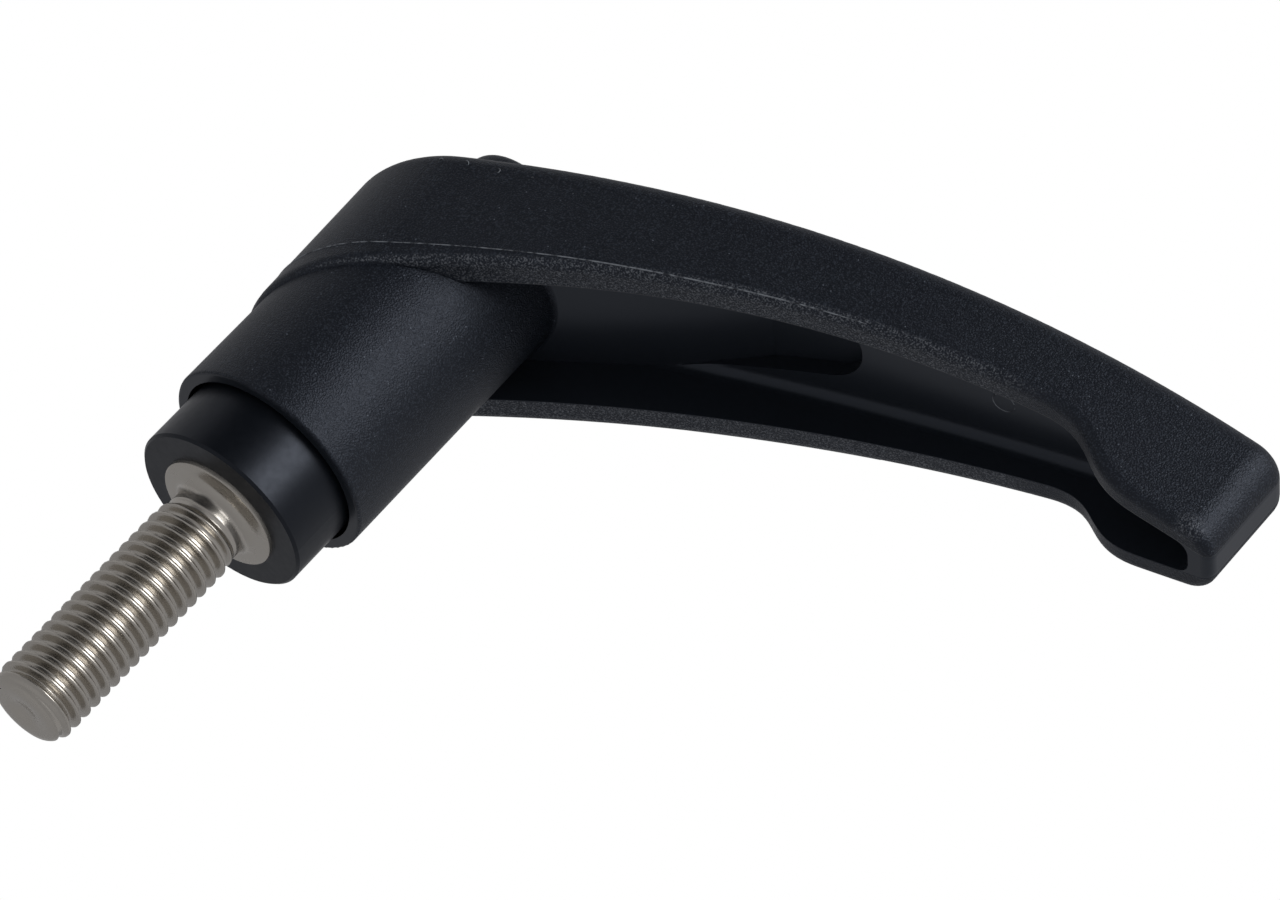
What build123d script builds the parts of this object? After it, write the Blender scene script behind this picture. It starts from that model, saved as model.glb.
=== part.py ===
from build123d import *
import os
from math import asin, atan2, cos, degrees, hypot, radians, sin, sqrt, tan

# Adjustable clamping lever with a threaded stud. Millimetres.
# The origin is the centre of the steel clamping face; +Z runs up the hub axis, away
# from the stud, and +X runs from the hub to the finger tip of the arm.

# Clearances
seat_gap = 0.2             # between the handle's tooth ring and its seat at rest
running_clearance = 0.08   # radial, guide spigot in the handle
free_clearance = 0.3       # radial, between pieces that pass without guiding
tooth_clearance = 0.25     # between the two sets of teeth, all round

# Threaded stud, stainless steel
thread_diameter = 8.0
stud_length = 25.0
stud_chamfer = 1.0
cup_depth = 0.5
neck_diameter = 7.2        # plain, as rolled threads leave it
neck_length = 2.2
neck_fillet = 1.0
flange_diameter = 11.5
flange_proud = 0.45
flange_thickness = 3.0
anchor_length = 9.0

# Retaining screw, cylinder head with hexagon socket
screw_diameter = 5.0
screw_head_diameter = 8.5
screw_head_height = 5.0
screw_grip_in_insert = 10.0
screw_hole_depth = 11.0
socket_flats = 4.0
socket_depth = 2.6
screw_head_chamfer = 0.5

# Toothed insert
insert_diameter = 17.1
insert_body_height = 15.8
insert_edge_chamfer = 0.25
tooth_count = 24
tooth_tip_radius = 7.9
tooth_root_radius = 6.9
tooth_tip_share = 0.3      # share of one pitch that the flat tip of a tooth takes
tooth_root_share = 0.3
spigot_diameter = 10.0
spigot_height = 4.4

# Return spring
spring_wire = 0.9
spring_wire_sides = 8      # the wire's round is drawn with this many flats
spring_outer_diameter = 8.2
spring_turns = 5.0
spring_length = 10.0
lift_travel = 4.0          # the handle lifts this far against the spring
lift_spare = 0.4           # the teeth are clear this much before the end of the lift

# Handle, hub
hub_diameter = 20.1
hub_bore_diameter = 17.9
hub_edge_fillet = 0.3
insert_showing = 6.45      # length of insert that shows below the hub's skirt
web_thickness = 3.0
boss_diameter = 11.0
boss_edge_fillet = 1.2
chamber_clearance = 0.5    # radial, round the screw head
head_sink = 0.5            # screw head below the boss's top face
hub_joint_fillet = 0.6     # where the hub meets the arm's gusset

# Handle, arm: plan
head_radius = 10.5         # at the height of plan_level
plan_level = 17.0
plan_draft = 1.5           # degrees; the walls lean out upwards
flank_start = 4.0
arm_reach = 73.9
tip_half_width = 2.9
tip_corner = 2.4

# Handle, arm: side
top_radius = 185.5
top_tail_height = 34.4     # top of the arm at tail_x
tail_x = -8.0
top_nose_height = 51.15    # top of the arm at nose_x
nose_x = 69.0
rim_tail_height = 17.2     # lower rim at tail_x
rim_radius = 124.5
rim_crest_height = 43.15   # highest point of the lower rim
rim_crest_x = 55.6
finger_depth = 3.6         # dip of the lower rim under the finger tip
finger_flat_x = 67.0       # the dip from the crest to the finger rim ends here
finger_bend = 6.0          # length of the dip's handles at both ends
top_edge_fillet = 1.8
rim_edge_fillet = 1.0

# Handle, arm: channel open to the underside
channel_half_width = 7.8
channel_flank_start = 12.0
channel_reach = 72.3
channel_tip_half_width = 1.7
channel_tip_corner = 1.4
floor_thickness = 4.45     # arm above the channel's floor
floor_fillet = 1.2
pocket_half_width = 7.1    # the floor is cored deeper by the hub, at pocket_wide_x
pocket_wide_x = 21.0
pocket_end_radius = 4.2
pocket_overlap = 1.6       # the pocket starts this far inside the gusset
pocket_reach = 36.5
pocket_depth = 1.75
gusset_height = 34.4       # where the gusset's slope leaves the hub
gusset_slope = 28.6        # degrees, up towards the pocket's floor

# Heights that follow
tooth_height = lift_travel - lift_spare
finger_rim_height = rim_crest_height - finger_depth
insert_face = flange_proud
tooth_seat = insert_face + insert_body_height
tooth_top = tooth_seat + tooth_height
spigot_top = tooth_top + spigot_height
skirt_bottom = insert_face + insert_showing
web_bottom = spigot_top + free_clearance
web_top = web_bottom + web_thickness
spring_bottom = web_top
spring_top = spring_bottom + spring_length
head_top = spring_top + screw_head_height
boss_top = head_top + head_sink
screw_tip = spigot_top - screw_grip_in_insert


def arc_height(start, end, radius, x):
    """Height at x of the crowned arc of a radius that joins two points."""
    middle_x = (start[0] + end[0]) / 2
    middle_z = (start[1] + end[1]) / 2
    run = end[0] - start[0]
    rise = end[1] - start[1]
    chord = hypot(run, rise)
    drop = sqrt(radius ** 2 - (chord / 2) ** 2)
    centre_x = middle_x + drop * rise / chord
    centre_z = middle_z - drop * run / chord
    return centre_z + sqrt(radius ** 2 - (x - centre_x) ** 2)


def top_height(x):
    """Height of the arm's top line at x."""
    tail = (tail_x, top_tail_height)
    return arc_height(tail, (nose_x, top_nose_height), top_radius, x)


def rim_height(x):
    """Height of the lower rim's long arc at x."""
    tail = (tail_x, rim_tail_height)
    return arc_height(tail, (rim_crest_x, rim_crest_height), rim_radius, x)


def crowned_arc(height_at, start_x, end_x, drop=0.0):
    """Arc through a height line, lowered by a drop, in the plane of X and Z."""
    middle_x = (start_x + end_x) / 2
    points = [(x, height_at(x) - drop) for x in (start_x, middle_x, end_x)]
    return ThreePointArc(*points)


def arm_plan(radius, straight_to, reach, half_width, corner):
    """Plan outline: a round head, two gently curved flanks and a blunt tip."""
    head = ThreePointArc((0, radius), (-radius, 0), (0, -radius))
    near_line = Line((0, -radius), (straight_to, -radius))
    near_flank = TangentArc((straight_to, -radius), (reach, -half_width), tangent=(1, 0))
    tip = Line((reach, -half_width), (reach, half_width))
    far_flank = TangentArc((straight_to, radius), (reach, half_width), tangent=(1, 0))
    far_line = Line((straight_to, radius), (0, radius))
    outline = make_face([head, near_line, near_flank, tip, far_flank, far_line])
    return fillet(outline.vertices().group_by(Axis.X)[-1], corner)


def side_slab(edges):
    """Solid across the whole arm with a closed side outline in X and Z."""
    across = Plane.XZ * make_face(edges)
    return extrude(across, amount=2 * head_radius, both=True)


def arm_side():
    """Side outline of the arm as a slab: crowned top, blunt nose, dipped finger rim."""
    back_x = -2 * head_radius
    far_x = arm_reach + head_radius
    top = crowned_arc(top_height, back_x, far_x)
    rim = crowned_arc(rim_height, back_x, rim_crest_x)
    finger_start = rim @ 1
    finger_end = Vector(finger_flat_x, finger_rim_height)
    dip = Bezier(
        finger_start,
        finger_start + (rim % 1) * finger_bend,
        finger_end - Vector(finger_bend, 0),
        finger_end,
    )
    flat = Line(finger_end, (far_x, finger_rim_height))
    front = Line((far_x, finger_rim_height), top @ 1)
    back = Line(top @ 0, rim @ 0)
    return side_slab([top, rim, dip, flat, front, back])


def under_top(thickness):
    """Slab of everything that lies more than a thickness below the arm's top line."""
    far_x = arm_reach + head_radius
    top = crowned_arc(top_height, -head_radius, far_x, thickness)
    front = Line(top @ 1, (far_x, 0))
    base = Line((far_x, 0), (-head_radius, 0))
    back = Line((-head_radius, 0), top @ 0)
    return side_slab([top, front, base, back])


def arm_body():
    """Outer form of the arm and head, with its rounded top edge and lower rim."""
    plan = arm_plan(head_radius, flank_start, arm_reach, tip_half_width, tip_corner)
    height = top_nose_height + head_radius - plan_level
    upper = extrude(Pos(0, 0, plan_level) * plan, amount=height, taper=-plan_draft)
    lower = extrude(Pos(0, 0, plan_level) * plan, amount=-plan_level, taper=0)
    body = (upper + lower) & arm_side()
    top_face = body.faces().sort_by(Axis.Z)[-1]
    body = fillet(top_face.edges(), top_edge_fillet)
    rim_edges = body.edges().filter_by(is_rim_edge)
    return fillet(rim_edges, rim_edge_fillet)


def is_rim_edge(edge):
    """Tell whether an edge runs along the outside of the lower rim."""
    middle = edge @ 0.5
    crosses_rim = abs(middle.Y) < 1 and 1 - head_radius < middle.X < arm_reach - 1
    upright = abs((edge % 0.5).Z) > 0.9
    return middle.Z < rim_line(middle.X) + 0.05 and not crosses_rim and not upright


def rim_line(x):
    """Height of the lower rim at x, or of its crest beyond the long arc."""
    return rim_height(x) if x < rim_crest_x else rim_crest_height


def channel():
    """Hollow of the arm: open below, with a filleted floor and a deeper pocket."""
    plan = arm_plan(
        channel_half_width,
        channel_flank_start,
        channel_reach,
        channel_tip_half_width,
        channel_tip_corner,
    )
    hollow = extrude(plan, amount=top_nose_height) & under_top(floor_thickness)
    hollow = fillet(hollow.faces().sort_by(Axis.Z)[-1].edges(), floor_fillet)
    pocket = extrude(pocket_plan(), amount=top_nose_height)
    pocket &= under_top(floor_thickness - pocket_depth)
    hub_height = top_nose_height - skirt_bottom
    hub = Pos(0, 0, skirt_bottom) * barrel(hub_diameter, hub_height)
    hollow = hollow + pocket - gusset() - hub
    return fillet(hollow.edges().filter_by(is_hub_joint), hub_joint_fillet)


def pocket_plan():
    """Plan of the pocket: a slot that narrows from the hub to a round end."""
    end_x = pocket_reach - pocket_end_radius
    run = end_x - pocket_wide_x
    spread = hypot(run, pocket_half_width)
    lean = atan2(pocket_half_width, run) - asin(pocket_end_radius / spread)
    touch = Vector(end_x + pocket_end_radius * sin(lean), pocket_end_radius * cos(lean))
    wide = Vector(pocket_wide_x, pocket_half_width)
    back = wide + Vector(-pocket_overlap, pocket_overlap * tan(lean))
    far = Line(back, touch)
    near = Line((back.X, -back.Y), (touch.X, -touch.Y))
    end = ThreePointArc(touch, (pocket_reach, 0), (touch.X, -touch.Y))
    return make_face([far, end, near, Line(back, (back.X, -back.Y))])


def gusset():
    """Thicker top of the arm by the hub: everything above a plane that leaves the hub."""
    back_x = -hub_diameter / 2
    start = (back_x, gusset_line(back_x))
    end = (pocket_reach, gusset_line(pocket_reach))
    above = 2 * top_nose_height
    return side_slab([Polyline(start, end, (pocket_reach, above), (back_x, above), close=True)])


def gusset_line(x):
    """Height of the gusset's plane at x; it leaves the front of the hub."""
    return gusset_height + (x - hub_diameter / 2) * tan(radians(gusset_slope))


def is_hub_joint(edge):
    """Tell whether an edge of the hollow lies between the hub and the gusset's plane."""
    middle = edge @ 0.5
    on_hub = abs(hypot(middle.X, middle.Y) - hub_diameter / 2) < 0.01
    return on_hub and abs(middle.Z - gusset_line(middle.X)) < 0.01


def barrel(diameter, height):
    """Upright cylinder that stands on the plane of X and Y."""
    return extrude(Circle(diameter / 2), amount=height)


def tooth_ring(tip_radius, root_radius, gap):
    """Face of the toothed disc, grown by a gap on every flank, tip and root."""
    pitch = 360 / tooth_count
    tip_half = pitch * tooth_tip_share / 2 + degrees(gap / tip_radius)
    root_half = pitch * tooth_root_share / 2 - degrees(gap / root_radius)
    corners = []
    for index in range(tooth_count):
        centre = index * pitch
        next_gap = centre + pitch / 2
        for radius, angle in (
            (tip_radius + gap, centre - tip_half),
            (tip_radius + gap, centre + tip_half),
            (root_radius + gap, next_gap - root_half),
            (root_radius + gap, next_gap + root_half),
        ):
            turn = radians(angle)
            corners.append((radius * cos(turn), radius * sin(turn)))
    return make_face(Polyline(*corners, close=True))


def hub_hollow():
    """Everything bored out of the hub: skirt, teeth, spigot guide and spring chamber."""
    ring_bottom = tooth_seat + seat_gap
    ring_top = tooth_top + free_clearance
    skirt = Pos(0, 0, skirt_bottom) * barrel(hub_bore_diameter, ring_bottom - skirt_bottom)
    teeth = tooth_ring(tooth_tip_radius, tooth_root_radius, tooth_clearance)
    ring = Pos(0, 0, ring_bottom) * extrude(teeth, amount=ring_top - ring_bottom)
    guide_bore = spigot_diameter + 2 * running_clearance
    guide = Pos(0, 0, ring_top) * barrel(guide_bore, web_bottom - ring_top)
    screw_hole = screw_diameter + 2 * free_clearance
    hole = Pos(0, 0, web_bottom) * barrel(screw_hole, web_thickness)
    chamber_bore = screw_head_diameter + 2 * chamber_clearance
    chamber = Pos(0, 0, web_top) * barrel(chamber_bore, boss_top - web_top)
    return skirt + ring + guide + hole + chamber


def lever_handle():
    """One moulding: hub with its skirt, head, hollow arm and screw boss."""
    hub_top = top_height(-head_radius) - 2 * top_edge_fillet
    hub = Pos(0, 0, skirt_bottom) * barrel(hub_diameter, hub_top - skirt_bottom)
    hub = fillet(hub.edges().group_by(Axis.Z)[0], hub_edge_fillet)
    boss = Pos(0, 0, hub_top) * barrel(boss_diameter, boss_top - hub_top)
    boss = fillet(boss.edges().group_by(Axis.Z)[-1], boss_edge_fillet)
    body = arm_body() - channel() + hub + boss
    return body - hub_hollow()


def threaded_stud():
    """Stud turned from bar: cupped tip, plain thread envelope, neck, flange and anchor."""
    radius = thread_diameter / 2
    body = Pos(0, 0, -stud_length) * barrel(thread_diameter, stud_length - neck_length)
    body = chamfer(body.edges().group_by(Axis.Z)[0], stud_chamfer)
    tip_radius = radius - stud_chamfer
    cup_radius = (tip_radius ** 2 + cup_depth ** 2) / (2 * cup_depth)
    body -= Pos(0, 0, -stud_length + cup_depth - cup_radius) * Sphere(cup_radius)
    body += Pos(0, 0, -neck_length) * barrel(neck_diameter, neck_length)
    body += barrel(flange_diameter, flange_thickness)
    at_face = body.edges().filter_by_position(Axis.Z, -0.01, 0.01)
    body = fillet(at_face.sort_by(SortBy.RADIUS)[0], neck_fillet)
    body += Pos(0, 0, flange_thickness) * barrel(thread_diameter, anchor_length)
    return body


def hub_insert():
    """Toothed insert that the handle drives, with the stud below and the screw above."""
    body = Pos(0, 0, insert_face) * barrel(insert_diameter, insert_body_height)
    body = chamfer(body.edges().group_by(Axis.Z)[0], insert_edge_chamfer)
    teeth = tooth_ring(tooth_tip_radius, tooth_root_radius, 0)
    body += Pos(0, 0, tooth_seat) * extrude(teeth, amount=tooth_height)
    body += Pos(0, 0, tooth_top) * barrel(spigot_diameter, spigot_height)
    body -= barrel(flange_diameter, flange_thickness)
    body -= Pos(0, 0, flange_thickness) * barrel(thread_diameter, anchor_length)
    tapped = Pos(0, 0, spigot_top - screw_hole_depth) * barrel(screw_diameter, screw_hole_depth)
    return body - tapped


def retaining_screw():
    """Cylinder-head screw that holds the handle and its spring on the insert."""
    shank = Pos(0, 0, screw_tip) * barrel(screw_diameter, spring_top - screw_tip)
    head = Pos(0, 0, spring_top) * barrel(screw_head_diameter, screw_head_height)
    head = chamfer(head.edges().group_by(Axis.Z)[-1], screw_head_chamfer)
    socket = RegularPolygon(socket_flats / 2, 6, major_radius=False)
    head -= Pos(0, 0, head_top - socket_depth) * extrude(socket, amount=socket_depth)
    return shank + head


def return_spring():
    """Compression spring round the screw, between the handle's web and the screw head."""
    coil_radius = (spring_outer_diameter - spring_wire) / 2
    coil_height = spring_length - spring_wire
    path = Helix(coil_height / spring_turns, coil_height, coil_radius)
    start = Plane(origin=path @ 0, z_dir=path % 0)
    wire = RegularPolygon(spring_wire / 2, spring_wire_sides)
    coil = sweep(start * wire, path=path, is_frenet=True)
    return Pos(0, 0, spring_bottom + spring_wire / 2) * coil


def main():
    """Write one STEP file for each piece."""
    os.makedirs("parts", exist_ok=True)
    pieces = {
        "lever_handle": lever_handle(),
        "hub_insert": hub_insert(),
        "threaded_stud": threaded_stud(),
        "retaining_screw": retaining_screw(),
        "return_spring": return_spring(),
    }
    for name, piece in pieces.items():
        export_step(piece, f"parts/{name}.step")


if __name__ == "__main__":
    main()
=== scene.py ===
"""Looks of an adjustable clamping lever: finishes, thread, screw, spring and stage."""

import logging
from dataclasses import dataclass, field
from enum import Enum
from math import ceil, cos, hypot, pi, radians, sin, sqrt
from typing import Callable

import bpy
from mathutils import Matrix, Vector

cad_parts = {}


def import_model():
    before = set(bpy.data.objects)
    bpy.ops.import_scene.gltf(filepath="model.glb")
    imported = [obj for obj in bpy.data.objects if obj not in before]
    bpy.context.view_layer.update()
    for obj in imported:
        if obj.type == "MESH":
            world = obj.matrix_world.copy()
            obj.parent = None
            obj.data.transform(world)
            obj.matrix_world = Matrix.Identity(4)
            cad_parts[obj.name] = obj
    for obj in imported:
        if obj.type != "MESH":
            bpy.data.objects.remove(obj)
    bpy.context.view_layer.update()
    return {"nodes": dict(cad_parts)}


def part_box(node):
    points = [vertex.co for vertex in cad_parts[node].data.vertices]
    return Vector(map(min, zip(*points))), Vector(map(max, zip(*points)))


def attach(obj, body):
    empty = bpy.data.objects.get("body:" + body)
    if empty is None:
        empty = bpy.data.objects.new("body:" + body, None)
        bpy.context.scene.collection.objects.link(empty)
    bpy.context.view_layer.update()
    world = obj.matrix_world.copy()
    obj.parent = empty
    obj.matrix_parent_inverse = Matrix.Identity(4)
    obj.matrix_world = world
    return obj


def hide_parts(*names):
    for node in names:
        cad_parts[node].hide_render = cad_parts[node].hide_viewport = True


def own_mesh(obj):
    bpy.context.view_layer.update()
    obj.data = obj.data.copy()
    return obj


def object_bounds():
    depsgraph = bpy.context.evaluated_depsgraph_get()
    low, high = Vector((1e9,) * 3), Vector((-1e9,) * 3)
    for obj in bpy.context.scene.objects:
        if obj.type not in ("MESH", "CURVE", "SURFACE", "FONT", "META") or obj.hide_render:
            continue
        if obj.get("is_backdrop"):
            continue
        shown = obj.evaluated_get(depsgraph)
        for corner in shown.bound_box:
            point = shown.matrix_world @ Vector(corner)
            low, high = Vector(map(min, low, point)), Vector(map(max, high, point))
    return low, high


MM = 0.001
NYLON_IOR = 1.53
TUBE_SIDES = 6
STEEP = 0.99
LOG = logging.getLogger("clamping_lever")

Tree = bpy.types.NodeTree
Socket = bpy.types.NodeSocket
Point = tuple[float, float, float]
Pair = tuple[float, float]
Span = tuple[float, float]
Face = tuple[int, ...]
Row = Callable[[float], Pair]


class Body(str, Enum):
    """Rigid bodies of the lever that pieces ride on."""

    BASE = "base"
    LEVER = "lever"


class Slot(str, Enum):
    """Names of the material slots in the part's record; no piece here is given one."""

    NYLON = "black_nylon"
    STAINLESS = "stainless_steel"
    SCREW = "screw_steel"
    SPRING = "spring_steel"


def linear(channel: int) -> float:
    """Turn one 8-bit sRGB channel into linear light."""
    share = channel / 255
    if share <= 0.04045:
        return share / 12.92
    return ((share + 0.055) / 1.055) ** 2.4


def colour(code: str) -> tuple[float, float, float, float]:
    """Turn an sRGB hex colour into a linear RGBA tuple.

    Args:
        code: Six hex digits after a hash sign.

    Returns:
        Red, green, blue in linear light, and an alpha of one.
    """
    red, green, blue = (linear(int(code[at : at + 2], 16)) for at in (1, 3, 5))
    return red, green, blue, 1.0


def smoothstep(share: float) -> float:
    """Ease a share, 0..1, at both ends."""
    return share * share * (3 - 2 * share)


def per_mm(size_mm: float) -> float:
    """Texture scale at which one cell measures a size in millimetres."""
    return 1 / (size_mm * MM)


def feed(tree: Tree, node: bpy.types.Node, inputs: dict[str | int, object]) -> None:
    """Set a node's input sockets to values, or link them to output sockets."""
    for key, value in inputs.items():
        if isinstance(value, Socket):
            tree.links.new(value, node.inputs[key])
        else:
            node.inputs[key].default_value = value


def add_node(
    tree: Tree,
    kind: str,
    inputs: dict[str | int, object] | None = None,
    settings: dict[str, object] | None = None,
) -> bpy.types.Node:
    """Add one node with its settings, and set or link its inputs.

    Args:
        tree: Node tree that gets the node.
        kind: Blender's type name of the node.
        inputs: Values for input sockets, or output sockets to link to them.
        settings: Attributes of the node.

    Returns:
        The new node.
    """
    node = tree.nodes.new(kind)
    for name, value in (settings or {}).items():
        setattr(node, name, value)
    feed(tree, node, inputs or {})
    return node


def maths(tree: Tree, operation: str, *values: object) -> Socket:
    """Combine values or sockets with one arithmetic node and return its output."""
    inputs = dict(enumerate(values))
    node = add_node(tree, "ShaderNodeMath", inputs, {"operation": operation})
    return node.outputs["Value"]


def product(tree: Tree, first: Socket, *others: Socket) -> Socket:
    """Multiply several sockets."""
    for other in others:
        first = maths(tree, "MULTIPLY", first, other)
    return first


def ramp(tree: Tree, socket: Socket, low: float, high: float) -> Socket:
    """Map a socket's values from low..high onto 0..1, smoothly and clamped."""
    settings = {"interpolation_type": "SMOOTHSTEP"}
    inputs = {"Value": socket, "From Min": low, "From Max": high}
    return add_node(tree, "ShaderNodeMapRange", inputs, settings).outputs["Result"]


def noise(tree: Tree, place: Socket, size_mm: float, detail: float) -> Socket:
    """Noise, 0..1, whose cells measure a size in millimetres."""
    inputs = {"Vector": place, "Scale": per_mm(size_mm), "Detail": detail}
    return add_node(tree, "ShaderNodeTexNoise", inputs).outputs["Fac"]


def blend_colours(tree: Tree, share: object, first: object, second: object) -> Socket:
    """Mix two colours or colour sockets by a share."""
    inputs = {0: share, 6: first, 7: second}
    return add_node(tree, "ShaderNodeMix", inputs, {"data_type": "RGBA"}).outputs[2]


def new_material(name: str) -> tuple[bpy.types.Material, Tree, bpy.types.Node]:
    """Make a node material and hand back it, its tree and its surface shader."""
    material = bpy.data.materials.new(name)
    material.use_nodes = True
    tree = material.node_tree
    return material, tree, tree.nodes["Principled BSDF"]


def object_position(tree: Tree) -> Socket:
    """Position on the piece in the part's frame, in metres."""
    return add_node(tree, "ShaderNodeTexCoord").outputs["Object"]


def split(tree: Tree, vector: Socket) -> list[Socket]:
    """X, Y and Z of a vector."""
    outputs = add_node(tree, "ShaderNodeSeparateXYZ", {0: vector}).outputs
    return [outputs[name] for name in ("X", "Y", "Z")]


def split_mm(tree: Tree, place: Socket) -> list[Socket]:
    """X, Y and Z of a position in metres, turned into millimetres."""
    return [maths(tree, "DIVIDE", axis, MM) for axis in split(tree, place)]


def from_axis(tree: Tree, x: Socket, y: Socket) -> Socket:
    """Distance from the hub's axis."""
    squares = [maths(tree, "POWER", value, 2.0) for value in (x, y)]
    return maths(tree, "SQRT", maths(tree, "ADD", *squares))


def bump(tree: Tree, height: Socket, depth_mm: float) -> Socket:
    """Turn a 0..1 height into a bumped normal of a real depth in millimetres."""
    inputs = {"Height": height, "Distance": depth_mm * MM, "Strength": 1.0}
    return add_node(tree, "ShaderNodeBump", inputs).outputs["Normal"]


@dataclass(frozen=True)
class GlassFilledNylon:
    """Black glass-filled nylon, moulded: spark-eroded grain outside, smooth core side.

    Lengths are in millimetres. A span is where a share starts from 0 and where it
    reaches 1, as noise values, distances or slopes.
    """

    grain_colour: str = "#070b12"
    crest_colour: str = "#2b3038"
    # Lighter colour of the painted highlight along the lower rim's fillet, and of the wear
    # at the nose.
    rim_sheen_and_wear_colour: str = "#63666b"
    # Colour of the smooth core side; part of its lightness is painted light from below on
    # the channel's inside.
    core_and_underlight_colour: str = "#1f2329"
    fibre_colour: str = "#6c727c"
    gloss_tint: str = "#dfe8fb"
    gloss_level: float = 0.42
    core_roughness: float = 0.26
    grain_roughness: float = 0.14
    cloud_roughness: float = 0.08
    cloud_mm: float = 9.0
    grain_mm: float = 0.15
    grain_depth_mm: float = 0.07
    crest_span: Span = (0.48, 0.72)
    core_margin: float = 0.12
    core_edge_span: Span = (0.0, 0.1)
    core_start_span: Span = (0.0, 1.0)
    facing_up_span: Span = (0.5, 0.2)
    skirt_end_span: Span = (0.06, 0.02)
    hub_span: Span = (0.1, 0.3)
    rim_band_span: Span = (0.9, 0.45)
    rim_end_span: Span = (2.0, -6.0)
    knock_centre: Point = (72.2, -3.7, 40.1)
    knock_span: Span = (1.7, 0.51)
    speckle_mm: float = 0.16
    speckle_span: Span = (0.46, 0.7)
    fibre_mm: float = 0.45
    fibre_size_span: Span = (0.2, 0.08)
    fibre_pick_span: Span = (0.93, 0.95)
    fibre_strength: float = 0.7

    def build(self, arm: "ArmForm") -> bpy.types.Material:
        """Make the material.

        Args:
            arm: Form of the arm, which tells the channel from the outside.

        Returns:
            The finished material.
        """
        material, tree, shader = new_material("nylon_glass_filled_moulded")
        place = object_position(tree)
        inside = self._core_side(tree, place, arm)
        outside = maths(tree, "SUBTRACT", 1.0, inside)
        # Spark-eroded steel leaves an even grain of round pits.
        pits = noise(tree, place, self.grain_mm, 1.0)
        crests = ramp(tree, pits, *self.crest_span)
        skin: object = colour(self.grain_colour)
        for share, code in (
            (crests, self.crest_colour),
            # Painted highlight along the lower rim, and wear at the nose.
            (self._rim_sheen_and_wear(tree, place, arm), self.rim_sheen_and_wear_colour),
            # Core side's colour, partly painted light from below.
            (inside, self.core_and_underlight_colour),
            (self._fibres(tree, place, outside), self.fibre_colour),
        ):
            skin = blend_colours(tree, share, skin, colour(code))
        finish = (outside, self.grain_roughness, self.core_roughness)
        cloud = noise(tree, place, self.cloud_mm, 2.0)
        uneven = (cloud, self.cloud_roughness, maths(tree, "MULTIPLY_ADD", *finish))
        # The grain is drawn deeper than the real hundredth or two so that it shows.
        normal = bump(tree, product(tree, pits, outside), self.grain_depth_mm)
        inputs = {
            "Base Color": skin,
            "Roughness": maths(tree, "MULTIPLY_ADD", *uneven),
            "IOR": NYLON_IOR,
            "Specular IOR Level": self.gloss_level,
            "Specular Tint": colour(self.gloss_tint),
            "Normal": normal,
        }
        feed(tree, shader, inputs)
        return material

    def _core_side(self, tree: Tree, place: Socket, arm: "ArmForm") -> Socket:
        """Share, 0..1, of the smooth finish that the channel's steel core leaves."""
        out, side, up = split_mm(tree, place)
        run = maths(tree, "SUBTRACT", out, arm.channel_flank_start)
        square = maths(tree, "POWER", maths(tree, "MAXIMUM", run, 0.0), 2.0)
        bow = maths(tree, "MULTIPLY", square, arm.channel_bow())
        edge = maths(tree, "SUBTRACT", arm.channel_half_width + self.core_margin, bow)
        inward = maths(tree, "SUBTRACT", edge, maths(tree, "ABSOLUTE", side))
        normal = add_node(tree, "ShaderNodeNewGeometry").outputs["Normal"]
        channel = product(
            tree,
            ramp(tree, inward, *self.core_edge_span),
            self._clear_of_hub(tree, out, side, arm),
            ramp(tree, out, *self.core_start_span),
            ramp(tree, split(tree, normal)[2], *self.facing_up_span),
        )
        above_skirt = maths(tree, "SUBTRACT", up, arm.skirt_bottom)
        skirt_end = ramp(tree, above_skirt, *self.skirt_end_span)
        return maths(tree, "MAXIMUM", channel, skirt_end)

    def _clear_of_hub(
        self, tree: Tree, out: Socket, side: Socket, arm: "ArmForm"
    ) -> Socket:
        """Share, 0..1, that is one wherever the surface isn't the hub's barrel."""
        beyond = maths(tree, "SUBTRACT", from_axis(tree, out, side), arm.hub_radius)
        return ramp(tree, beyond, *self.hub_span)

    def _rim_sheen_and_wear(self, tree: Tree, place: Socket, arm: "ArmForm") -> Socket:
        """Share, 0..1, of the speckled painted highlight along the lower rim and of the
        speckled wear at the nose.
        """
        out, side, up = split_mm(tree, place)
        centre_x, centre_z = arc_centre(arm.tail, arm.crest, arm.rim_radius)
        offset = maths(tree, "SUBTRACT", out, centre_x)
        square = maths(tree, "POWER", offset, 2.0)
        left = maths(tree, "SUBTRACT", arm.rim_radius**2, square)
        rim = maths(tree, "ADD", maths(tree, "SQRT", left), centre_z)
        beyond_crest = maths(tree, "SUBTRACT", out, arm.crest[0])
        # Painted highlight: a lighter band just above the lower rim, standing for light
        # off the rim's rounded edge.
        painted_rim_sheen = product(
            tree,
            ramp(tree, maths(tree, "SUBTRACT", up, rim), *self.rim_band_span),
            self._clear_of_hub(tree, out, side, arm),
            ramp(tree, beyond_crest, *self.rim_end_span),
        )
        centre = tuple(value * MM for value in self.knock_centre)
        inputs = {0: place, 1: centre}
        gap = add_node(tree, "ShaderNodeVectorMath", inputs, {"operation": "DISTANCE"})
        reach = (value * MM for value in self.knock_span)
        knocked = ramp(tree, gap.outputs["Value"], *reach)
        speckle = noise(tree, place, self.speckle_mm, 2.0)
        specks = ramp(tree, speckle, *self.speckle_span)
        return product(tree, maths(tree, "MAXIMUM", painted_rim_sheen, knocked), specks)

    def _fibres(self, tree: Tree, place: Socket, outside: Socket) -> Socket:
        """Few bright specks where glass fibres reach the skin."""
        inputs = {"Vector": place, "Scale": per_mm(self.fibre_mm)}
        cells = add_node(tree, "ShaderNodeTexVoronoi", inputs).outputs
        near = ramp(tree, cells["Distance"], *self.fibre_size_span)
        parts = add_node(tree, "ShaderNodeSeparateColor", {0: cells["Color"]})
        chosen = ramp(tree, parts.outputs[0], *self.fibre_pick_span)
        share = product(tree, near, chosen, outside)
        return maths(tree, "MULTIPLY", share, self.fibre_strength)


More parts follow.
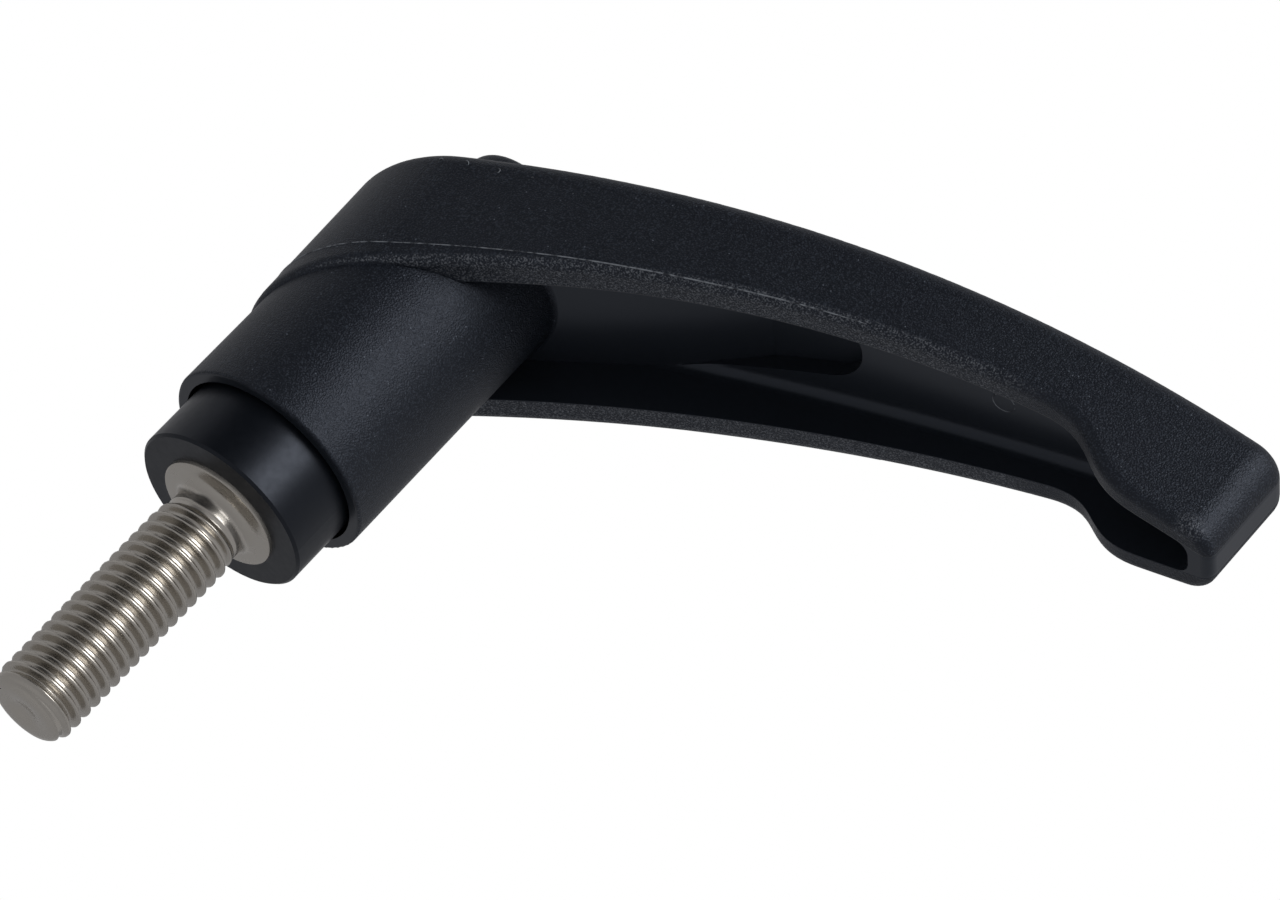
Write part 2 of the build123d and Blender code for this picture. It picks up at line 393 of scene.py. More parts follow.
@dataclass(frozen=True)
class ScuffedNylon:
    """The same nylon where a thin edge is scuffed or torn: paler and quite matt."""

    clean_colour: str = "#1b2029"
    scuff_colour: str = "#7c8188"
    patch_mm: float = 0.7
    patch_span: Span = (0.35, 0.6)
    roughness: float = 0.4
    patch_roughness: float = 0.2

    def build(self) -> bpy.types.Material:
        """Make the material."""
        material, tree, shader = new_material("nylon_scuffed_edge")
        patches = noise(tree, object_position(tree), self.patch_mm, 3.0)
        share = ramp(tree, patches, *self.patch_span)
        tones = (colour(self.clean_colour), colour(self.scuff_colour))
        uneven = (patches, self.patch_roughness, self.roughness)
        inputs = {
            "Base Color": blend_colours(tree, share, *tones),
            "Roughness": maths(tree, "MULTIPLY_ADD", *uneven),
            "IOR": NYLON_IOR,
        }
        feed(tree, shader, inputs)
        return material


@dataclass(frozen=True)
class BlackCoatedZinc:
    """Zinc, die-cast and black coated: even, smooth satin with a faint orange peel."""

    coat_colour: str = "#0b0e13"
    gloss_tint: str = "#dfe8fb"
    gloss_level: float = 0.38
    roughness: float = 0.3
    peel_roughness: float = 0.12
    peel_mm: float = 0.7
    peel_depth_mm: float = 0.006

    def build(self) -> bpy.types.Material:
        """Make the material."""
        material, tree, shader = new_material("zinc_cast_black_coated")
        peel = noise(tree, object_position(tree), self.peel_mm, 1.0)
        uneven = (peel, self.peel_roughness, self.roughness)
        inputs = {
            "Base Color": colour(self.coat_colour),
            "Specular IOR Level": self.gloss_level,
            "Specular Tint": colour(self.gloss_tint),
            "Roughness": maths(tree, "MULTIPLY_ADD", *uneven),
            "Normal": bump(tree, peel, self.peel_depth_mm),
        }
        feed(tree, shader, inputs)
        return material


class SteelWork(Enum):
    """How a steel surface was made: its least roughness and its marks' depth in mm."""

    ROLLED = (0.19, 0.004)
    DRAWN = (0.25, 0.003)


@dataclass(frozen=True)
class StainlessSteel:
    """Austenitic stainless steel with fine marks that run round the axis."""

    name: str = "stainless_steel_rolled"
    work: SteelWork = SteelWork.ROLLED
    steel_colour: str = "#bdb8b0"
    mark_mm: float = 0.12
    mark_drift: float = 0.03
    cloud_mm: float = 1.6
    cloud_roughness: float = 0.14

    def build(self) -> bpy.types.Material:
        """Make the material."""
        material, tree, shader = new_material(self.name)
        roughness, depth = self.work.value
        place = object_position(tree)
        x, y, z = split(tree, place)
        # Rolls and cutting tools leave rings: the pattern varies along Z and the radius
        # and hardly at all round the axis.
        drift = maths(tree, "MULTIPLY", x, self.mark_drift)
        inputs = {"X": from_axis(tree, x, y), "Y": z, "Z": drift}
        stretched = add_node(tree, "ShaderNodeCombineXYZ", inputs).outputs[0]
        marks = noise(tree, stretched, self.mark_mm, 3.0)
        cloud = noise(tree, place, self.cloud_mm, 3.0)
        uneven = (cloud, self.cloud_roughness, roughness)
        inputs = {
            "Base Color": colour(self.steel_colour),
            "Metallic": 1.0,
            "Roughness": maths(tree, "MULTIPLY_ADD", *uneven),
            "Normal": bump(tree, marks, depth),
        }
        feed(tree, shader, inputs)
        return material


@dataclass(frozen=True)
class BlackOxideSteel:
    """Alloy steel, black oxide finish: nearly black, oily satin."""

    oxide_colour: str = "#2b2b2d"
    metal_share: float = 0.8
    roughness: float = 0.3
    cloud_roughness: float = 0.2
    cloud_mm: float = 0.8

    def build(self) -> bpy.types.Material:
        """Make the material."""
        material, tree, shader = new_material("steel_black_oxide")
        cloud = noise(tree, object_position(tree), self.cloud_mm, 3.0)
        uneven = (cloud, self.cloud_roughness, self.roughness)
        inputs = {
            "Base Color": colour(self.oxide_colour),
            "Metallic": self.metal_share,
            "Roughness": maths(tree, "MULTIPLY_ADD", *uneven),
        }
        feed(tree, shader, inputs)
        return material


def make_piece(
    name: str,
    skin: tuple[list[Point], list[Face]],
    material: bpy.types.Material,
    body: Body,
) -> bpy.types.Object:
    """Make a smooth-shaded mesh piece that rides on a body.

    Args:
        name: Name of the piece.
        skin: Points in metres, in the part's frame, and the corners of each face.
        material: Finish of the whole piece.
        body: Body that carries the piece.

    Returns:
        The new object.
    """
    points, faces = skin
    mesh = bpy.data.meshes.new(name)
    mesh.from_pydata(points, [], faces)
    mesh.materials.append(material)
    mesh.polygons.foreach_set("use_smooth", [True] * len(mesh.polygons))
    mesh.update()
    piece = bpy.data.objects.new(name, mesh)
    bpy.context.scene.collection.objects.link(piece)
    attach(piece, body.value)
    LOG.info("%s: %d faces", name, len(faces))
    return piece


def skin_rings(rings: list[list[Point]]) -> tuple[list[Point], list[Face]]:
    """Skin a row of closed rings, with a fan on each end.

    Args:
        rings: Rings of equally many points, in order along the piece.

    Returns:
        Points and faces of the closed mesh.
    """
    count = len(rings[0])
    points = [point for ring in rings for point in ring]
    faces: list[Face] = []
    for row in range(len(rings) - 1):
        here = row * count
        above = here + count
        for step in range(count):
            following = (step + 1) % count
            quad = (here + step, here + following, above + following, above + step)
            faces.append(quad)
    for start, inwards in ((0, -1), (len(rings) - 1, 1)):
        ring = range(start * count, (start + 1) * count)
        centre = tuple(sum(points[i][axis] for i in ring) / count for axis in range(3))
        points.append(centre)
        hub = len(points) - 1
        for step in range(count):
            pair = (ring[step], ring[(step + 1) % count])
            faces.append((hub, *pair[::inwards]))
    return points, faces


def turned_rings(rows: list[Row], segments: int) -> list[list[Point]]:
    """Rings of a turned form in metres, from rows that give radius and height in mm.

    Args:
        rows: Each gives the radius and the height at an angle, in millimetres.
        segments: Number of points round the axis.

    Returns:
        One ring of points for each row.
    """
    rings = []
    for row in rows:
        ring = []
        for step in range(segments):
            angle = 2 * pi * step / segments
            radius, height = row(angle)
            across = radius * MM
            ring.append((across * cos(angle), across * sin(angle), height * MM))
        rings.append(ring)
    return rings


def plain(radius: float, height: float) -> Row:
    """Row of a turned form with the same radius and height all round."""
    return lambda angle: (radius, height)


def tube_rings(path: list[Point], radii: list[float]) -> list[list[Point]]:
    """Rings of a thin tube along a path given in millimetres.

    Args:
        path: Points along the tube's centre line.
        radii: Radius of the tube at each point.

    Returns:
        Rings in metres, ready to be skinned.
    """
    rings = []
    for index, (place, radius) in enumerate(zip(path, radii)):
        ahead = Vector(path[min(index + 1, len(path) - 1)])
        behind = Vector(path[max(index - 1, 0)])
        along = (ahead - behind).normalized()
        upright = Vector((0, 0, 1))
        side = along.orthogonal() if abs(along.z) > STEEP else along.cross(upright)
        side.normalize()
        other = along.cross(side)
        ring = []
        for step in range(TUBE_SIDES):
            turn = 2 * pi * step / TUBE_SIDES
            point = Vector(place) + (side * cos(turn) + other * sin(turn)) * radius
            ring.append(tuple(point * MM))
        rings.append(ring)
    return rings


def arc_centre(start: Pair, end: Pair, radius: float) -> Pair:
    """Centre of the crowned arc of a radius that joins two points, as x and height."""
    run, rise = end[0] - start[0], end[1] - start[1]
    chord = hypot(run, rise)
    drop = sqrt(radius**2 - (chord / 2) ** 2)
    middle_x, middle_z = (start[0] + end[0]) / 2, (start[1] + end[1]) / 2
    return middle_x + drop * rise / chord, middle_z - drop * run / chord


def arc_height(start: Pair, end: Pair, radius: float, x: float) -> float:
    """Height at x of the crowned arc of a radius that joins two points.

    Args:
        start: First point, as x and height.
        end: Second point, as x and height.
        radius: Radius of the arc.
        x: Place along the arm.

    Returns:
        Height of the arc at x.
    """
    centre_x, centre_z = arc_centre(start, end, radius)
    return centre_z + sqrt(radius**2 - (x - centre_x) ** 2)


@dataclass(frozen=True)
class ArmForm:
    """Driving sizes of the arm's form, in millimetres, as in the solid."""

    head_radius: float = 10.5
    plan_level: float = 17.0
    draft: float = 1.5
    flank_start: float = 4.0
    reach: float = 73.9
    tip_half_width: float = 2.9
    tip_corner: float = 2.4
    tail: Pair = (-8.0, 17.2)
    crest: Pair = (55.6, 43.15)
    rim_radius: float = 124.5
    rim_fillet: float = 1.0
    finger_rim: float = 39.55
    finger_flat_x: float = 67.0
    top_tail: Pair = (-8.0, 34.4)
    top_nose: Pair = (69.0, 51.15)
    top_radius: float = 185.5
    floor_thickness: float = 4.45
    channel_half_width: float = 7.8
    channel_flank_start: float = 12.0
    channel_reach: float = 72.3
    channel_tip_half_width: float = 1.7
    hub_radius: float = 10.05
    skirt_bottom: float = 6.9
    outline_spacing: float = 0.6
    corner_steps: int = 8

    def floor_height(self, x: float) -> float:
        """Height of the channel's floor at x."""
        top = arc_height(self.top_tail, self.top_nose, self.top_radius, x)
        return top - self.floor_thickness

    def rim_recess(self, above: float) -> float:
        """How far the rim's rounded edge lies inside the wall, by height above it."""
        left = max(self.rim_fillet - above, 0.0)
        return self.rim_fillet - sqrt(self.rim_fillet**2 - left**2)

    def wall_reach(self, height: float) -> float:
        """How far the drafted outer wall stands out from the plan outline."""
        return (height - self.plan_level) * sin(radians(self.draft))

    def channel_bow(self) -> float:
        """Factor of the square by which the channel's flank closes in."""
        run = self.channel_reach - self.channel_flank_start
        return (self.channel_half_width - self.channel_tip_half_width) / run**2

    def rim_height(self, x: float) -> float:
        """Height of the lower rim at x, the dip to the finger rim included."""
        if x <= self.crest[0]:
            return arc_height(self.tail, self.crest, self.rim_radius, x)
        share = min((x - self.crest[0]) / (self.finger_flat_x - self.crest[0]), 1.0)
        return self.crest[1] + (self.finger_rim - self.crest[1]) * smoothstep(share)

    def outline(self) -> list[tuple[float, float, float, float]]:
        """Points round the plan outline with their outward normals.

        Returns:
            Rows of x, y, normal x and normal y, round the arm from its tip.
        """
        half: list[tuple[float, float, float, float]] = []
        corner = self.tip_corner
        corner_x = self.reach - corner
        corner_y = self.tip_half_width - corner
        for step in range(self.corner_steps + 1):
            turn = pi / 2 * step / self.corner_steps
            nx, ny = cos(turn), sin(turn)
            half.append((corner_x + corner * nx, corner_y + corner * ny, nx, ny))
        run = self.reach - self.flank_start
        drop = self.head_radius - self.tip_half_width
        bow = (run**2 + drop**2) / (2 * drop)
        steps = ceil((corner_x - self.flank_start) / self.outline_spacing)
        for step in range(1, steps + 1):
            x = corner_x - (corner_x - self.flank_start) * step / steps
            lean = (x - self.flank_start) / bow
            level = sqrt(1 - lean**2)
            half.append((x, self.head_radius - bow * (1 - level), lean, level))
        steps = ceil(self.flank_start / self.outline_spacing)
        for step in range(1, steps):
            x = self.flank_start * (1 - step / steps)
            half.append((x, self.head_radius, 0.0, 1.0))
        steps = ceil(pi / 2 * self.head_radius / self.outline_spacing)
        for step in range(steps + 1):
            turn = pi / 2 + pi / 2 * step / steps
            nx, ny = cos(turn), sin(turn)
            half.append((self.head_radius * nx, self.head_radius * ny, nx, ny))
        mirrored = [(x, -y, nx, -ny) for x, y, nx, ny in reversed(half[:-1])]
        return half + mirrored


@dataclass(frozen=True)
class Curl:
    """One curl of torn flash: an arc on the near wall, in millimetres and degrees."""

    x: float
    height: float
    radius: float
    start: float
    sweep: float


@dataclass(frozen=True)
class Handle:
    """Moulded handle: the solid's finish, and the marks that its mould left.

    Lengths are in millimetres.
    """

    arm: ArmForm
    nylon: bpy.types.Material
    edge_nylon: bpy.types.Material
    line_end_x: float = 40.0
    line_fade: float = 8.0
    line_above_rim: float = 0.38
    line_rise: float = 1.74
    line_rise_start_x: float = 30.0
    line_rise_run: float = 28.0
    line_head_rise: float = 0.01
    flash_width: float = 0.13
    flash_height: float = 0.06
    flash_root: float = 0.1
    pin_mark_x: float = 49.9
    pin_mark_radius: float = 1.05
    pin_mark_wire: float = 0.05
    pin_mark_steps: int = 48
    curl_steps: int = 8
    curl_stand: float = 0.07
    curl_end_wire: float = 0.025
    curl_swell: float = 0.02
    curls: tuple[Curl, ...] = (
        Curl(-1.6, 35.35, 0.3, 70.0, 80.0),
        Curl(0.5, 36.1, 0.38, 10.0, 100.0),
        Curl(3.5, 36.95, 0.26, -50.0, 150.0),
        Curl(6.7, 37.83, 0.07, 0.0, 200.0),
    )

    def build(self, node: bpy.types.Object) -> None:
        """Dress the solid and add the marks of its mould.

        Args:
            node: The handle's solid in the frame.
        """
        dress(node, self.nylon)
        self._parting_line()
        self._pin_mark()
        self._torn_flash()

    def _above_rim(self, x: float) -> float:
        """Height of the parting line above the rim: it nears the rim along the arm."""
        along = max(self.line_rise_start_x - x, 0.0) / self.line_rise_run
        round_head = self.line_head_rise * min(x, 0.0) ** 2
        return self.line_above_rim + self.line_rise * along**2 + round_head

    def _parting_line(self) -> None:
        """Thin ridge of flash where the two halves of the mould met, round the head."""
        rings = []
        half, root = self.flash_width / 2, self.flash_root
        for x, y, nx, ny in self.arm.outline():
            if x > self.line_end_x:
                continue
            over_rim = self._above_rim(x)
            height = self.arm.rim_height(x) + over_rim
            wall = self.arm.wall_reach(height) - self.arm.rim_recess(over_rim)
            fade = min((self.line_end_x - x) / self.line_fade, 1.0)
            peak = self.flash_height * fade
            below, above = ((-root, -half), (0.0, -half)), ((0.0, half), (-root, half))
            ring = []
            for stand, rise in (*below, (peak, 0.0), *above):
                out = wall + stand
                point = (x + nx * out, y + ny * out, height + rise)
                ring.append(tuple(value * MM for value in point))
            rings.append(ring)
        self._add_flash("parting_flash", [rings])

    def _pin_mark(self) -> None:
        """Faint ring on the channel's floor where the ejector pin pushed."""
        path = []
        for step in range(self.pin_mark_steps):
            turn = 2 * pi * step / self.pin_mark_steps
            x = self.pin_mark_x + self.pin_mark_radius * cos(turn)
            y = self.pin_mark_radius * sin(turn)
            path.append((x, y, self.arm.floor_height(x)))
        rings = tube_rings(path, [self.pin_mark_wire] * self.pin_mark_steps)
        # The first and last ring lean, since they have a neighbour on one side only.
        self._add_flash("ejector_pin_ring", [rings[1:-1]])

    def _torn_flash(self) -> None:
        """Tiny curls of torn flash under the head's top edge."""
        tubes = []
        for curl in self.curls:
            path, radii = [], []
            for step in range(self.curl_steps + 1):
                share = step / self.curl_steps
                turn = radians(curl.start + curl.sweep * share)
                x = curl.x + curl.radius * cos(turn)
                height = curl.height + curl.radius * sin(turn)
                reach = self.arm.head_radius + self.arm.wall_reach(height)
                wall = sqrt(reach**2 - min(x, 0.0) ** 2)
                middle = sin(pi * share)
                path.append((x, -(wall + self.curl_stand * middle), height))
                radii.append(self.curl_end_wire + self.curl_swell * middle)
            tubes.append(tube_rings(path, radii))
        self._add_flash("torn_flash", tubes)

    def _add_flash(self, name: str, strips: list[list[list[Point]]]) -> None:
        """Skin several strips of rings into one piece of scuffed nylon on the lever."""
        points: list[Point] = []
        faces: list[Face] = []
        for rings in strips:
            new_points, new_faces = skin_rings(rings)
            start = len(points)
            faces += [tuple(corner + start for corner in face) for face in new_faces]
            points += new_points
        make_piece(name, (points, faces), self.edge_nylon, Body.LEVER)


@dataclass
class ThreadedStud:
    """Stainless stud: rolled coarse thread, neck, flange and the anchor in the insert.

    Lengths are in millimetres; heights are measured from the flange's lower face.
    """

    steel: bpy.types.Material
    pitch: float = 1.25
    crest_radius: float = 3.97
    root_radius: float = 3.2
    blank_radius: float = 3.6
    crest_flat: float = 0.14
    flank_share: float = 0.6
    seam_half_width: float = 0.06
    seam_depth: float = 0.02
    thread_start: float = -1.7
    thread_full: float = -3.6
    flange_radius: float = 5.75
    flange_thickness: float = 3.0
    flange_edge: float = 0.12
    flange_edge_corner: float = 0.3
    anchor_radius: float = 4.0
    centre_radius: float = 0.4
    neck_fillet: float = 1.1
    neck_steps: int = 6
    neck_land: float = 0.1
    tip_radius: float = 2.75
    tip_length: float = 2.1
    tip_land: float = 0.15
    tip_fade_power: float = 1.5
    cap_clearance: float = 0.05
    cup_radius: float = 2.1
    cup_depth: float = 0.4
    end_shares: tuple[float, ...] = (0.97, 0.9, 0.8, 0.7, 0.6, 0.5, 0.4, 0.3, 0.2, 0.1)
    segments: int = 120
    rows_per_turn: int = 18
    tip: float = field(init=False, default=0.0)

    def build(self) -> None:
        """Make the stud as one turned form with a true helical thread.

        It stands for the plain solid, and its tip and top are the solid's.
        """
        low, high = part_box("threaded_stud")
        self.tip = low[2] / MM
        top = high[2] / MM
        rows = [plain(self.centre_radius, top), plain(self.anchor_radius, top)]
        rows += self._flange_rows() + self._thread_rows() + self._end_rows()
        skin = skin_rings(turned_rings(rows, self.segments))
        name = "stud_rolled_thread"
        piece = make_piece(name, skin, self.steel, Body.BASE)
        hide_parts("threaded_stud")

    def _flange_rows(self) -> list[Row]:
        """Rows from the anchor's foot over the flange to the end of its fillet."""
        edge = self.flange_edge
        corner = edge * self.flange_edge_corner
        outline = [
            (self.anchor_radius, self.flange_thickness),
            (self.flange_radius - edge, self.flange_thickness),
            (self.flange_radius, self.flange_thickness - edge),
            (self.flange_radius, edge),
            (self.flange_radius - corner, corner),
            (self.flange_radius - edge, 0.0),
            (self.blank_radius + self.neck_fillet + 0.02, 0.0),
        ]
        for step in range(1, self.neck_steps + 1):
            turn = pi / 2 * step / self.neck_steps
            radius = self.blank_radius + self.neck_fillet * (1 - sin(turn))
            outline.append((radius, -self.neck_fillet * (1 - cos(turn))))
        return [plain(*place) for place in outline]

    def _thread_rows(self) -> list[Row]:
        """Rows of the thread from its run-out at the neck to the tip."""
        start = -self.neck_fillet - self.neck_land
        length = start - self.tip - self.tip_land
        count = ceil(length / self.pitch * self.rows_per_turn)
        heights = [start - length * step / count for step in range(count + 1)]
        return [self._thread_row(height) for height in heights]

    def _thread_row(self, height: float) -> Row:
        """Row of the thread at one height: its radius changes round the axis."""

        def row(angle: float) -> Pair:
            """Radius and height at an angle."""
            turn = (height / self.pitch - angle / (2 * pi)) % 1.0
            from_crest = 2 * min(turn, 1 - turn)
            share = (from_crest - self.crest_flat) / self.flank_share
            share = min(max(share, 0.0), 1.0)
            rounded = 0.5 * share + 0.5 * smoothstep(share)
            depth = (self.crest_radius - self.root_radius) * rounded
            # Rolling folds a fine seam into the crest.
            if from_crest < self.seam_half_width:
                depth += self.seam_depth
            run_out = self.thread_start - self.thread_full
            grown = min(max((self.thread_start - height) / run_out, 0.0), 1.0)
            full = self.crest_radius - depth
            radius = self.blank_radius + (full - self.blank_radius) * grown
            up = min((height - self.tip) / self.tip_length, 1.0)
            swell = sqrt(1 - (1 - up) ** 2)
            widest = self.crest_radius + self.cap_clearance
            cap = self.tip_radius + (widest - self.tip_radius) * swell
            # The rolls press the thread less deeply into the rounded end.
            radius += (cap - radius) * (1 - up) ** self.tip_fade_power
            return min(radius, cap), height

        return row

    def _end_rows(self) -> list[Row]:
        """Rows of the rounded end with its shallow pressed cup."""
        rows = []
        for share in self.end_shares:
            radius = self.tip_radius * share
            inward = max(1 - radius / self.cup_radius, 0.0)
            rows.append(plain(radius, self.tip + self.cup_depth * smoothstep(inward)))
        return rows


@dataclass(frozen=True)
class CapScrew:
    """Cylinder-head screw with a knurled head and a hexagon socket, in millimetres."""

    steel: bpy.types.Material
    centre_radius: float = 0.3
    shank_radius: float = 2.5
    shank_chamfer: float = 0.4
    head_radius: float = 4.25
    head_height: float = 5.0
    knurl_depth: float = 0.08
    knurl_count: int = 60
    knurl_inset: float = 0.1
    knurl_start: float = 0.15
    knurl_stop: float = 0.3
    edge: float = 0.45
    socket_half_flats: float = 2.0
    socket_depth: float = 2.6
    socket_land: float = 0.75
    socket_chamfer: float = 0.15
    socket_point: float = 0.6
    segments: int = 240

    def build(self) -> None:
        """Make the screw, which stands for the plain solid."""
        low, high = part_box("retaining_screw")
        tip, top = low[2] / MM, high[2] / MM
        under, shoulder = top - self.head_height, top - self.edge
        shank, neck = self.shank_radius, self.head_radius - self.knurl_inset
        flats, bottom = self.socket_half_flats, top - self.socket_depth
        rows = [
            plain(self.centre_radius, tip),
            plain(shank - self.shank_chamfer, tip),
            plain(shank, tip + self.shank_chamfer),
            plain(shank, under),
            plain(neck, under),
            self._knurl(under + self.knurl_start),
            self._knurl(shoulder - self.knurl_stop),
            plain(neck, shoulder),
            plain(self.head_radius - self.edge, top),
            plain(flats + self.socket_land, top),
            self._hexagon(flats + self.socket_chamfer, top),
            self._hexagon(flats, top - self.socket_chamfer),
            self._hexagon(flats, bottom),
            plain(self.centre_radius, bottom - self.socket_point),
        ]
        skin = skin_rings(turned_rings(rows, self.segments))
        piece = make_piece("cap_screw", skin, self.steel, Body.BASE)
        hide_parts("retaining_screw")

    def _knurl(self, height: float) -> Row:
        """Row of the knurled head at one height."""

        def row(angle: float) -> Pair:
            """Radius and height at an angle."""
            wave = (1 - cos(angle * self.knurl_count)) / 2
            return self.head_radius - self.knurl_depth * wave, height

        return row

    @staticmethod
    def _hexagon(half_flats: float, height: float) -> Row:
        """Row of a hexagon with a given half width across flats."""
        return lambda angle: (half_flats / cos(angle % (pi / 3) - pi / 6), height)


@dataclass(frozen=True)
class ReturnSpring:
    """Compression spring with closed ends, between the handle's web and the screw head.

    Lengths are in millimetres.
    """

    wire_steel: bpy.types.Material
    wire: float = 0.9
    outer_radius: float = 4.1
    turns: float = 6.0
    closed_turns: float = 0.8
    coil_rise: float = 9.0
    travel: float = 4.0
    steps_per_turn: int = 40
    wire_segments: int = 12

    def build(self) -> None:
        """Make the coil in place of the plain solid."""
        low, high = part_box("return_spring")
        bottom, top = low[2] / MM, high[2] / MM
        rise = top - bottom - self.wire
        rings = []
        count = int(self.turns * self.steps_per_turn)
        for step in range(count + 1):
            turn = self.turns * step / count
            height = bottom + self.wire / 2 + rise * self._share(turn)
            rings.append(self._section(2 * pi * turn, height))
        skin = skin_rings(rings)
        name = "coil_spring"
        piece = make_piece(name, skin, self.wire_steel, Body.BASE)
        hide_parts("return_spring")
        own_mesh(piece)

    def _share(self, turn: float) -> float:
        """Share of the coil's rise at a turn: slow in the closed end turns."""
        closed = self.closed_turns
        end_rise = closed * self.wire / self.coil_rise
        if turn < closed:
            return end_rise * turn / closed
        if turn > self.turns - closed:
            return 1 - end_rise * (self.turns - turn) / closed
        middle = (turn - closed) / (self.turns - 2 * closed)
        return end_rise + (1 - 2 * end_rise) * middle

    def _section(self, angle: float, height: float) -> list[Point]:
        """Round section of the wire at an angle round the coil."""
        ring = []
        half = self.wire / 2
        for step in range(self.wire_segments):
            turn = 2 * pi * step / self.wire_segments
            reach = self.outer_radius - half + half * cos(turn)
            up = height + half * sin(turn)
            ring.append((reach * cos(angle) * MM, reach * sin(angle) * MM, up * MM))
        return ring


def dress(node: bpy.types.Object, material: bpy.types.Material) -> None:
    """Give a solid from the frame its finish."""
    node.data.materials.clear()
    node.data.materials.append(material)
    LOG.info("%s: dressed with %s", node.name, material.name)


@dataclass(frozen=True)
class Patch:
    """Patch of the surroundings: its heading, and the cosines of its rim and core."""

    heading: Point
    span: Span

    def share(self, tree: Tree) -> Socket:
        """Share, 0..1, of the patch in the direction that is seen."""
        here = add_node(tree, "ShaderNodeTexCoord").outputs["Generated"]
        inputs = {0: here, 1: self.heading}
        settings = {"operation": "DOT_PRODUCT"}
        lean = add_node(tree, "ShaderNodeVectorMath", inputs, settings)
        return ramp(tree, lean.outputs["Value"], *self.span)


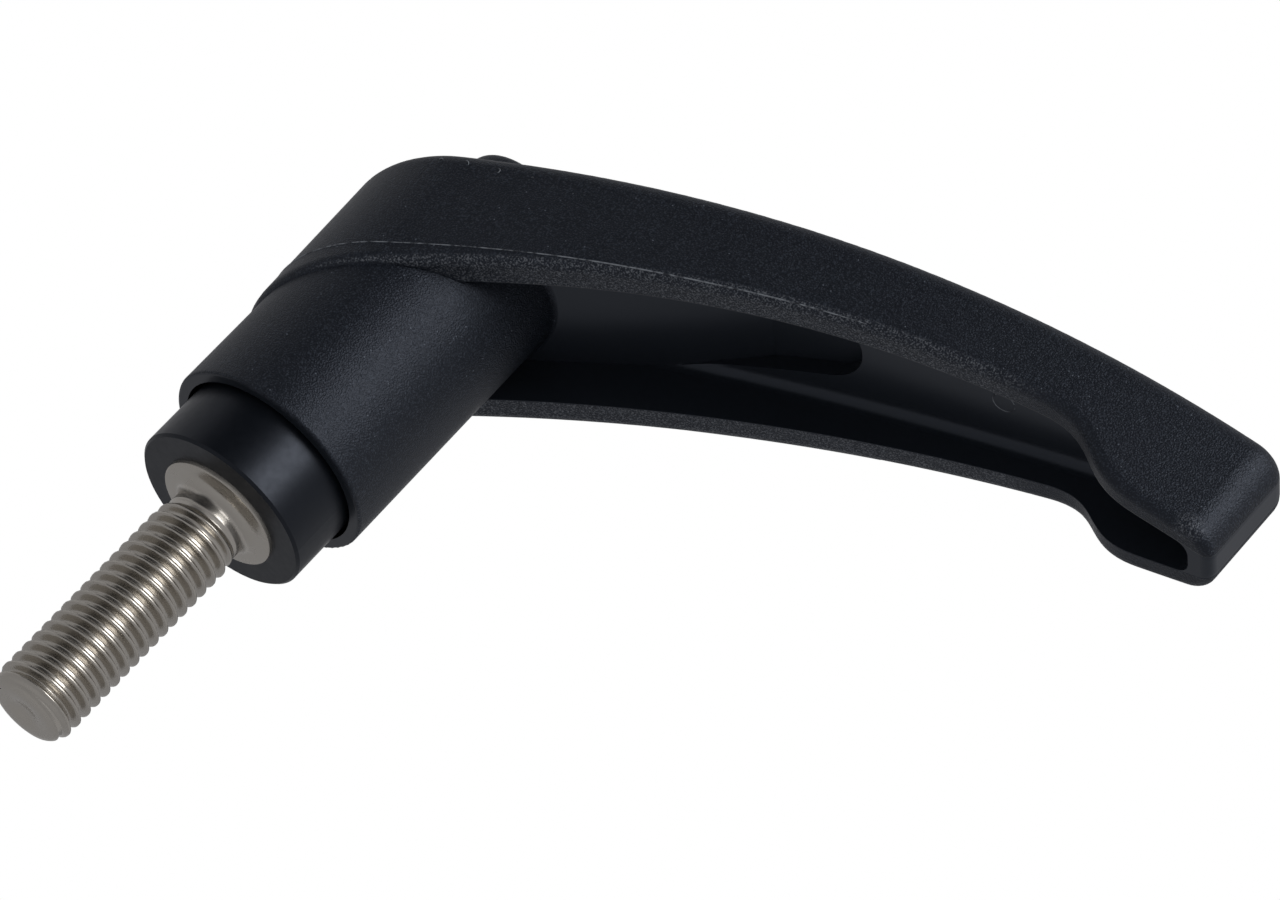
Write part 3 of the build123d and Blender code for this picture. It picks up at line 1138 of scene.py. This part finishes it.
@dataclass(frozen=True)
class Studio:
    """Camera, pale floor, soft lamp and surroundings, in metres and watts."""

    camera_place: Point = (0.21122, -0.31209, -0.16687)
    camera_target: Point = (0.02658, 0.0, 0.02501)
    camera_roll: float = 42.51
    lens_mm: float = 135.57
    sensor_mm: float = 36.0
    clip_start: float = 0.01
    floor_drop: float = 0.9
    floor_size: float = 31.5
    floor_colour: str = "#f4f4f4"
    floor_roughness: float = 0.9
    backdrop: Patch = Patch((-0.45, 0.76, 0.468), (0.96, 0.99))
    dark_corner: Patch = Patch((-0.21, -0.86, 0.47), (0.8, 0.97))
    dim_side: Patch = Patch((-0.1, 0.88, 0.47), (0.88, 0.97))
    room_colour: str = "#adadaf"
    corner_colour: str = "#2a2b2e"
    side_colour: str = "#88888a"
    lamp_heading: Point = (0.653, -0.595, 0.468)
    lamp_distance: float = 0.6
    lamp_size: float = 0.34
    lamp_power: float = 1.6

    def build(self) -> None:
        """Set up everything round the lever."""
        self._camera()
        self._floor()
        self._world()
        self._key_lamp()
        bpy.context.scene.view_settings.view_transform = "Standard"

    @staticmethod
    def _add(name: str, data: bpy.types.ID) -> bpy.types.Object:
        """Put an object with its data into the scene."""
        added = bpy.data.objects.new(name, data)
        bpy.context.scene.collection.objects.link(added)
        return added

    def _camera(self) -> None:
        """Camera with a long lens, below the lever and in front of it, and rolled."""
        data = bpy.data.cameras.new("camera")
        data.lens = self.lens_mm
        data.sensor_width = self.sensor_mm
        data.clip_start = self.clip_start
        camera = self._add("camera", data)
        camera.location = self.camera_place
        look = Vector(self.camera_target) - Vector(self.camera_place)
        facing = look.to_track_quat("-Z", "Y").to_matrix().to_4x4()
        roll = Matrix.Rotation(radians(self.camera_roll), 4, "Z")
        camera.matrix_world = Matrix.Translation(self.camera_place) @ facing @ roll
        bpy.context.scene.camera = camera

    def _floor(self) -> None:
        """Pale floor, low enough to hide nothing from a camera below the lever."""
        low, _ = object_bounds()
        half = self.floor_size / 2
        level = low.z - self.floor_drop
        signs = ((-1, -1), (1, -1), (1, 1), (-1, 1))
        corners = [(x * half, y * half, level) for x, y in signs]
        mesh = bpy.data.meshes.new("floor")
        mesh.from_pydata(corners, [], [(0, 1, 2, 3)])
        material, tree, shader = new_material("floor_paper")
        paper = {
            "Base Color": colour(self.floor_colour),
            "Roughness": self.floor_roughness,
        }
        feed(tree, shader, paper)
        mesh.materials.append(material)
        self._add("floor", mesh)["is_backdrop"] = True

    def _world(self) -> None:
        """White backdrop, and a dimmer room with a dim side and a dark corner."""
        world = bpy.data.worlds.new("surroundings")
        bpy.context.scene.world = world
        world.use_nodes = True
        tree = world.node_tree
        lit = tree.nodes["Background"]
        tone: object = colour(self.room_colour)
        for patch, code in (
            (self.dark_corner, self.corner_colour),
            (self.dim_side, self.side_colour),
        ):
            tone = blend_colours(tree, patch.share(tree), tone, colour(code))
        feed(tree, lit, {"Color": tone})
        white = add_node(tree, "ShaderNodeBackground", {"Color": (1, 1, 1, 1)})
        path = add_node(tree, "ShaderNodeLightPath").outputs
        rays = (path["Is Glossy Ray"], path["Is Transmission Ray"])
        mirrored = maths(tree, "MAXIMUM", *rays)
        behind = product(tree, mirrored, self.backdrop.share(tree))
        share = maths(tree, "MAXIMUM", path["Is Camera Ray"], behind)
        inputs = {0: share, 1: lit.outputs[0], 2: white.outputs[0]}
        mix = add_node(tree, "ShaderNodeMixShader", inputs)
        feed(tree, tree.nodes["World Output"], {"Surface": mix.outputs[0]})

    def _key_lamp(self) -> None:
        """Square soft lamp that faces the lever."""
        data = bpy.data.lights.new("key_softbox", "AREA")
        data.shape = "SQUARE"
        data.size = self.lamp_size
        data.energy = self.lamp_power
        lamp = self._add("key_softbox", data)
        low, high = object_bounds()
        centre = (low + high) / 2
        heading = Vector(self.lamp_heading).normalized()
        lamp.location = centre + heading * self.lamp_distance
        aim = centre - lamp.location
        lamp.rotation_mode = "QUATERNION"
        lamp.rotation_quaternion = aim.to_track_quat("-Z", "Y")


def main() -> None:
    """Build the finishes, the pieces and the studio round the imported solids."""
    logging.basicConfig(level=logging.INFO, format="%(name)s %(message)s")
    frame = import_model()
    arm = ArmForm()
    nodes = frame["nodes"]
    nylon, edge_nylon = GlassFilledNylon().build(arm), ScuffedNylon().build()
    Handle(arm, nylon, edge_nylon).build(nodes["lever_handle"])
    dress(nodes["hub_insert"], BlackCoatedZinc().build())
    ThreadedStud(StainlessSteel().build()).build()
    CapScrew(BlackOxideSteel().build()).build()
    drawn = StainlessSteel("stainless_steel_drawn_wire", SteelWork.DRAWN)
    ReturnSpring(drawn.build()).build()
    Studio().build()


if __name__ == "__main__":
    main()
